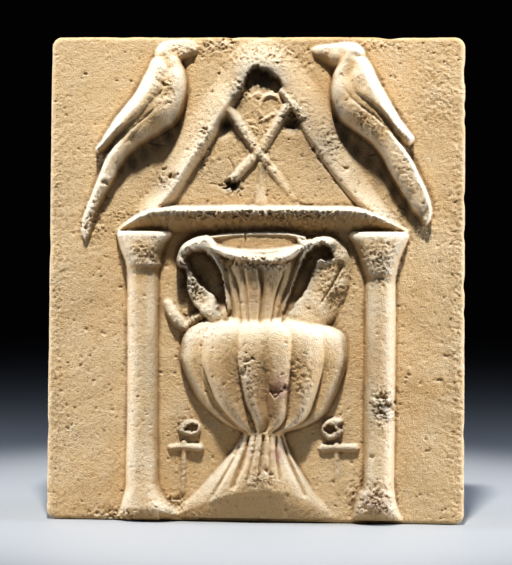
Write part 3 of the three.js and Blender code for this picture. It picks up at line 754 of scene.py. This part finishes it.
# Pressing the relief into the slab
# The front grid's points move out by the relief, the outline is rounded at its corners and drawn in
# towards the top, and the mesh is thinned where it is flat. Rows of a nick: x, z, size, depth.
TRIANGLES = 195000
ARRIS_RADIUS = 3.0
NEAR = 0.01
INSIDE = 1.001
EDGE_BAND = 6
EDGE_WAVE = 0.1
SHORT_WAVE = 0.6
NICK_FADE = 0.3
BACK_SWELL = 0.35
BACK_INSET = 0.5
EDGE_NICKS = [
    (138, 297, 5, 1.2), (138, 292, 3, 1), (138, 275, 3, 0.9), (138, 265, 2.5, 0.9),
    (138, 214, 4, 0.8), (138, 190, 3, 1), (138, 157, 4, 0.9), (138, 139, 2.5, 0.9),
    (88, 320, 6, 1.1), (-138, 180, 6, 0.5), (-138, 60, 5, 0.5), (-90, 320, 5, 0.4),
    (138, 60, 4, 0.6), (-17, 320, 3, 0.6),
]
mesh = tile.data
points = np.empty(len(mesh.vertices) * 3)
mesh.vertices.foreach_get("co", points)
points = points.reshape(-1, 3) / MM
flat_x, flat_y, flat_z = points.T.copy()


def at(field, place_x, place_z):
    """The field at any place of the front, between its grid points."""
    column = np.clip((place_x + WIDTH / 2) / CELL, 0, x.shape[1] - INSIDE)
    row = np.clip(place_z / CELL, 0, x.shape[0] - INSIDE)
    c, r = column.astype(int), row.astype(int)
    u, v = column - c, row - r
    below = field[r, c] * (1 - u) + field[r, c + 1] * u
    above = field[r + 1, c] * (1 - u) + field[r + 1, c + 1] * u
    return below * (1 - v) + above * v


front = flat_y < GROUND_Y + NEAR
rear = flat_y > BACK_Y - NEAR
side_x = WIDTH / 2 - np.abs(flat_x)
side_z = np.minimum(flat_z, HEIGHT - flat_z)
corner_x = np.clip(1 - side_x / CORNER_RADIUS, 0, 1)
corner_z = np.clip(1 - side_z / CORNER_RADIUS, 0, 1)
bent_x = CORNER_RADIUS * corner_x * (1 - np.sqrt(1 - corner_z**2 / 2))
bent_z = CORNER_RADIUS * corner_z * (1 - np.sqrt(1 - corner_x**2 / 2))
edge_distance = CORNER_RADIUS * (1 - np.hypot(
    corner_x * np.sqrt(1 - corner_z**2 / 2), corner_z * np.sqrt(1 - corner_x**2 / 2)
))
edge_distance = np.where((corner_x > 0) | (corner_z > 0), edge_distance, CORNER_RADIUS)
dip = np.clip(1 - edge_distance / ARRIS_RADIUS, 0, 1)
arris = ARRIS_RADIUS * (1 - np.sqrt(1 - dip**2))
points[:, 0] -= np.sign(flat_x) * bent_x
points[:, 2] += np.where(flat_z < HEIGHT / 2, bent_z, -bent_z)
points[:, 0] *= 1 - (1 - TOP_WIDTH / WIDTH) * points[:, 2] / HEIGHT
points[front, 1] -= at(relief, flat_x[front], flat_z[front])
points[front, 1] += arris[front]
points[rear, 1] -= arris[rear]
inner = (edge_distance[rear] / CORNER_RADIUS) ** 2
swell = at(mottle(size=14, seed=11), flat_x[rear], flat_z[rear])
points[rear, 1] += BACK_SWELL * inner * swell - BACK_INSET
sides = ~front & ~rear
front_end = GROUND_Y + ARRIS_RADIUS - at(relief, flat_x[sides], flat_z[sides])
rear_end = BACK_Y - ARRIS_RADIUS - BACK_INSET
share = (flat_y[sides] - GROUND_Y) / (BACK_Y - GROUND_Y)
points[sides, 1] = front_end + share * (rear_end - front_end)
near_edge = np.clip(1 - np.minimum(side_x, side_z) / EDGE_BAND, 0, 1) ** 2
long_wave = at(mottle(size=22, seed=12), flat_x, flat_z)
short_wave = at(mottle(size=4, seed=16), flat_x, flat_z)
wave = EDGE_WAVE * (long_wave + SHORT_WAVE * short_wave)
for nick_x, nick_z, size, depth in EDGE_NICKS:
    away = (flat_x - nick_x) ** 2 + (flat_z - nick_z) ** 2 + NICK_FADE * (flat_y - GROUND_Y) ** 2
    wave = np.maximum(wave, depth * np.exp(-away / size**2))
worn_away = near_edge * np.maximum(wave, 0)
points[:, 0] -= np.sign(flat_x) * worn_away * (side_x < side_z)
points[:, 2] -= worn_away * (side_z <= side_x) * (flat_z > HEIGHT / 2)
mesh.vertices.foreach_set("co", (points * MM).ravel())
mesh.update()
thin = tile.modifiers.new("thin", "DECIMATE")
thin.ratio = min(1.0, TRIANGLES / sum(len(face.vertices) - 2 for face in mesh.polygons))
thin.use_collapse_triangulate = True
bpy.ops.object.modifier_apply(modifier="thin")
bpy.ops.object.shade_smooth()

# The fired clay
# Unglazed buff clay with a few grey and reddish patches, some soot and dirt, and fine grit all over.
# Its colour also holds painted light: paler as a painted highlight on crests and on faces that look
# up, partly wear, and ochre and brown as painted shade in hollows, creases and on faces that look
# down. Near-black painted shadow lies under the birds, in the handle openings, the apex hollow and the
# gable's pockets. Rows of a stain: x, z, half width, half height, strength.
STAINS = {
    # Near-black painted shadow under the birds, in the handle openings, the apex hollow and the
    # gable's pockets, with some real soot in a few holes.
    "soot_and_painted_shadow": [
        (4, 293, 13, 8, 0.85), (-13, 278, 5, 8, 0.65), (-19, 261, 5, 4, 0.9), (24, 261, 5, 4, 0.8),
        (6, 232, 3, 4, 0.5), (-15, 222, 4, 3, 0.9), (84, 77, 5, 4, 0.6), (-70, 176, 7, 5, 0.35),
        (-34, 165, 9, 11, 0.45), (-23, 147, 4, 11, 0.5), (44, 178, 6, 4, 0.6),
        (33, 166, 5, 10, 0.5), (-48, 157, 4, 9, 0.7), (23, 147, 4, 9, 0.4),
        (-52.5, 262, 3.5, 7, 0.7), (-58.5, 254.5, 5, 7, 0.8), (-66.5, 248, 6, 7, 0.65),
        (-74.5, 242.5, 6, 7, 0.65), (-82.5, 237, 5, 7, 0.8), (-89.5, 232, 3, 5, 0.6),
        (52, 266, 3, 8, 0.7), (58, 254.5, 4, 8, 0.65), (66, 245.5, 5, 8, 0.65),
        (74, 238, 5, 8, 0.65), (82, 228.5, 5, 8, 0.65), (90, 218.5, 4, 8, 0.65),
        (98, 208.5, 4, 7, 0.7), (105, 200, 3, 4, 0.5),
    ],
    # Brown patches, part dirt and part painted shade: the neck under the lip, the mouth, the lower
    # body, the right gable bar and the cornice's bevel among them.
    "dirt_and_painted_shade": [
        (4, 150, 17, 18, 0.5), (3, 187, 28, 5, 0.4), (40, 252, 13, 24, 0.45), (4, 80, 18, 20, 0.35),
        (4, 48, 15, 14, 0.3), (-60, 222, 12, 10, 0.3), (-44, 60, 12, 12, 0.4),
        (52, 58, 12, 12, 0.4), (5, 194, 88, 5, 0.15),
    ],
    "grey": [
        (47, 250, 8, 12, 0.6), (82, 173, 8, 8, 0.7), (4, 168, 18, 4, 0.5), (-3, 95, 14, 16, 0.35),
    ],
    "red": [(17, 89, 7, 7, 0.9), (-47, 168, 3, 4, 0.5), (16, 46, 4, 6, 0.6), (78, 17, 10, 8, 0.4)],
}
# How deep each place lies among its neighbours, its fine creases and how far it looks down, which the
# colour uses for painted highlight and painted shade.
HOLLOW_DEPTH = 4
CREVICE_DEPTH = 1.2
hollow = (smoothed(relief, size=8) - smoothed(relief, size=1.5)) / HOLLOW_DEPTH
crevice = (smoothed(relief, size=3.5) - smoothed(relief, size=0.6)) / CREVICE_DEPTH
slope_z, slope_x = np.gradient(smoothed(relief, size=1.0), CELL)
facing_down = slope_z / np.sqrt(1 + slope_z**2 + slope_x**2)
mesh = tile.data
points = np.empty(len(mesh.vertices) * 3)
mesh.vertices.foreach_get("co", points)
points = points.reshape(-1, 3) / MM
on_front = points[:, 1] < GROUND_Y + ARRIS_RADIUS
fields = {
    "hollow": np.clip(hollow, -1, 1),
    "crevice": np.clip(crevice, -1, 1),
    "facing_down": facing_down,
    "crumble": crumble,
}
for stain, spots in STAINS.items():
    fields[stain] = patches(spots)
for name, field in fields.items():
    layer = mesh.attributes.new(name, "FLOAT", "POINT")
    values = np.where(on_front, at(field, points[:, 0], points[:, 2]), 0)
    layer.data.foreach_set("value", values.astype(np.float32))

clay = bpy.data.materials.new("fired_clay")
clay.use_nodes = True
clay.node_tree.nodes.clear()


class Wire:
    """One output in the clay's node tree. Sums, products and the like add their Math nodes."""

    def __init__(self, socket):
        self.socket = socket

    def __add__(self, other):
        return node("ShaderNodeMath", {"operation": "ADD"}, {0: self, 1: other})

    def __sub__(self, other):
        return node("ShaderNodeMath", {"operation": "SUBTRACT"}, {0: self, 1: other})

    def __rsub__(self, other):
        return node("ShaderNodeMath", {"operation": "SUBTRACT"}, {0: other, 1: self})

    def __mul__(self, other):
        return node("ShaderNodeMath", {"operation": "MULTIPLY"}, {0: self, 1: other})

    __radd__ = __add__
    __rmul__ = __mul__


def node(kind, settings, sockets, output=0):
    """Adds a node, makes its settings, then gives its sockets their values or links."""
    made = clay.node_tree.nodes.new(kind)
    for name, value in settings.items():
        setattr(made, name, value)
    for name, value in sockets.items():
        if isinstance(value, Wire):
            clay.node_tree.links.new(value.socket, made.inputs[name])
        else:
            made.inputs[name].default_value = value
    return Wire(made.outputs[output])


def mixed(first, second, share):
    """A colour between two, by the share of the second."""
    sockets = {"Factor": share, 6: first, 7: second}
    for key in (6, 7):
        if isinstance(sockets[key], tuple):
            sockets[key] = (*sockets[key], 1)
    return node("ShaderNodeMix", {"data_type": "RGBA", "clamp_factor": True}, sockets, output=2)


def clamped(wire):
    return node("ShaderNodeMath", {"operation": "ADD", "use_clamp": True}, {0: wire, 1: 0.0})


def noise(where, scale, detail, roughness=0.5):
    return node(
        "ShaderNodeTexNoise", {"noise_dimensions": "3D"},
        {"Vector": where, "Scale": scale, "Detail": detail, "Roughness": roughness},
    )


def dots(where, scale):
    """How far each point lies from the nearest of many scattered points."""
    return node("ShaderNodeTexVoronoi", {}, {"Vector": where, "Scale": scale, "Randomness": 1.0})


def layer_value(name):
    return node("ShaderNodeAttribute", {"attribute_name": name}, {}, output=2)


CREAM = (0.68, 0.625, 0.52)
PALE = (0.575, 0.505, 0.375)
BUFF = (0.545, 0.38, 0.20)
OCHRE = (0.46, 0.27, 0.105)
BROWN = (0.17, 0.095, 0.042)
SOOT_AND_SHADOW = (0.03, 0.023, 0.018)
GREY = (0.27, 0.235, 0.175)
RED = (0.25, 0.11, 0.08)
place = node("ShaderNodeTexCoord", {}, {}, output=3)
across = node("ShaderNodeMapping", {}, {"Vector": place, "Scale": (0.4, 1, 1)})
broad = noise(place, scale=14, detail=4)
blotch = noise(place, scale=60, detail=5, roughness=0.6)
speck = noise(place, scale=700, detail=3, roughness=0.6)
fine = noise(place, scale=1400, detail=2, roughness=0.6)
wiped = noise(across, scale=700, detail=3, roughness=0.55)
blotchy = blotch - 0.5
hollow_share = layer_value("hollow")
crevice_share = layer_value("crevice")
under = layer_value("facing_down")
rough = layer_value("crumble")
pits = clamped((rough * 0.12 + blotch * 0.34 - 0.03 - dots(place, scale=430)) * 9)
grains = clamped((rough * 0.15 + blotch * 0.3 + 0.05 - dots(place, scale=950)) * 6)
colour = mixed(OCHRE, BUFF, clamped(broad * 2 - 0.15))
# Painted highlight, partly wear: cream on crests and on faces that do not look down.
worn_and_highlit = clamped(hollow_share * -0.9 - under * 0.3 - 0.05 + blotchy * 0.5)
# Painted shade, partly grime: brown in fine creases.
grime_and_crease_shade = clamped(crevice_share * 0.75 - 0.2 + blotchy * 1.2 + (speck - 0.5) * 0.8)
# Painted highlight: paler on faces that look up.
colour = mixed(colour, PALE, clamped(0.12 - under * 1.1 - hollow_share * 0.3 + blotchy * 0.5))
# Painted shade: ochre on faces that look down.
colour = mixed(colour, OCHRE, clamped(under * 0.75 + blotchy * 0.4 - 0.1))
colour = mixed(colour, CREAM, worn_and_highlit * 0.6)
# Painted shade: brown in hollows and a little on faces that look down.
colour = mixed(colour, BROWN, clamped(hollow_share * 0.8 + under * 0.2 - 0.3 + blotchy * 0.6))
# Painted highlight, partly wear: paler on fine crests.
colour = mixed(colour, PALE, clamped(crevice_share * -0.6 - 0.1 + blotchy * 0.8))
colour = mixed(colour, BROWN, grime_and_crease_shade)
# Brown patches, part dirt and part painted shade.
colour = mixed(colour, BROWN, clamped(layer_value("dirt_and_painted_shade") * (speck * 1.6 + blotch - 0.5)))
colour = mixed(colour, GREY, clamped(layer_value("grey") * (speck * 2.4 - 0.4)))
colour = mixed(colour, RED, clamped(layer_value("red") * (blotch * 2.2 - 0.2)))
# Near-black painted shadow from the soot rows, with some real soot.
colour = mixed(colour, SOOT_AND_SHADOW, clamped(layer_value("soot_and_painted_shadow") * (speck * 1.2 + 0.4)))
colour = mixed(colour, BROWN, clamped((0.5 - speck) * 2.5) * 0.3)
colour = mixed(colour, BROWN, clamped((0.38 - speck) * 8) * 0.5)
colour = mixed(colour, BROWN, grains * 0.55)
colour = mixed(colour, BROWN, pits * 0.8)
height = (wiped * 0.2 + speck * 0.7 + fine * 0.5) * (rough * 0.5 + 0.8) - pits * 0.6 - grains * 0.3
grain = node("ShaderNodeBump", {}, {"Strength": 0.9, "Distance": 0.001, "Height": height})
shader = node(
    "ShaderNodeBsdfPrincipled", {},
    {
        "Base Color": colour,
        "Roughness": clamped(0.86 + speck * 0.1),
        "Specular IOR Level": 0.25,
        "Normal": grain,
    },
)
output = clay.node_tree.nodes.new("ShaderNodeOutputMaterial")
clay.node_tree.links.new(shader.socket, output.inputs["Surface"])
tile.data.materials.clear()
tile.data.materials.append(clay)
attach(tile, "root")
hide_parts("relief_tile")

# The studio
# A plain grey table in a dark room, with a small hard light from above, weak bluish strips at the
# sides and a faint fill from the front.
bpy.ops.object.select_all(action="DESELECT")
bpy.ops.mesh.primitive_plane_add(size=6, location=(0, 0.6, 0))
floor = bpy.context.object
floor.name = "table"
TABLE_COLOUR = (0.27, 0.275, 0.275, 1)
table = bpy.data.materials.new("table")
table.use_nodes = True
table_shader = table.node_tree.nodes["Principled BSDF"]
table_shader.inputs["Base Color"].default_value = TABLE_COLOUR
table_shader.inputs["Roughness"].default_value = 0.6
floor.data.materials.append(table)

ROOM_COLOUR = (0.0012, 0.0012, 0.0013, 1)
world = bpy.data.worlds.new("studio")
world.use_nodes = True
world.node_tree.nodes["Background"].inputs["Color"].default_value = ROOM_COLOUR
world.node_tree.nodes["Background"].inputs["Strength"].default_value = 1.0
bpy.context.scene.world = world
bpy.context.scene.view_settings.view_transform = "Standard"
bpy.context.scene.view_settings.look = "Medium High Contrast"
LIT_PLACE = (0, GROUND_Y * MM, 0.215)


def aimed(lamp, azimuth, elevation, distance, power):
    """Aims a new lamp at the tile's upper half. Azimuth 0 is in front, and grows to the right."""
    a, e = math.radians(azimuth), math.radians(elevation)
    way = Vector((math.sin(a) * math.cos(e), -math.cos(a) * math.cos(e), math.sin(e)))
    lamp.location = Vector(LIT_PLACE) + distance * way
    lamp.rotation_euler = way.to_track_quat("Z", "Y").to_euler()
    lamp.data.energy = power


bpy.ops.object.light_add(type="SPOT")
key = bpy.context.object
key.name = "key_light"
key.data.spot_size = math.radians(24)
key.data.spot_blend = 0.7
key.data.shadow_soft_size = 0.06
aimed(key, azimuth=0, elevation=65, distance=1.6, power=225)
bpy.ops.object.light_add(type="AREA")
fill = bpy.context.object
fill.name = "front_fill"
fill.data.size = 0.6
aimed(fill, azimuth=0, elevation=5, distance=1.5, power=0.7)
STRIP_COLOUR = (0.82, 0.93, 1.15)
STRIPS = [("left_strip", -87, 9.5), ("right_strip", 87, 12)]
for name, azimuth, power in STRIPS:
    bpy.ops.object.light_add(type="AREA")
    strip = bpy.context.object
    strip.name = name
    strip.data.size = 0.2
    strip.data.color = STRIP_COLOUR
    aimed(strip, azimuth, elevation=4, distance=0.9, power=power)

# The camera
# Square on to the tile from a little over a metre, a trace to the right and level with its middle.
CAMERA_DISTANCE = 1.034
CAMERA_AZIMUTH = math.radians(2.9)
CAMERA_ROLL = math.radians(-0.45)
AIM = (0.0003, GROUND_Y * MM, 0.158)
bpy.ops.object.camera_add(
    location=(
        AIM[0] + CAMERA_DISTANCE * math.sin(CAMERA_AZIMUTH),
        AIM[1] - CAMERA_DISTANCE * math.cos(CAMERA_AZIMUTH),
        AIM[2],
    ),
    rotation=(math.pi / 2, CAMERA_ROLL, CAMERA_AZIMUTH),
)
camera = bpy.context.object
camera.data.lens = 100
camera.data.sensor_width = 36
bpy.context.scene.camera = camera
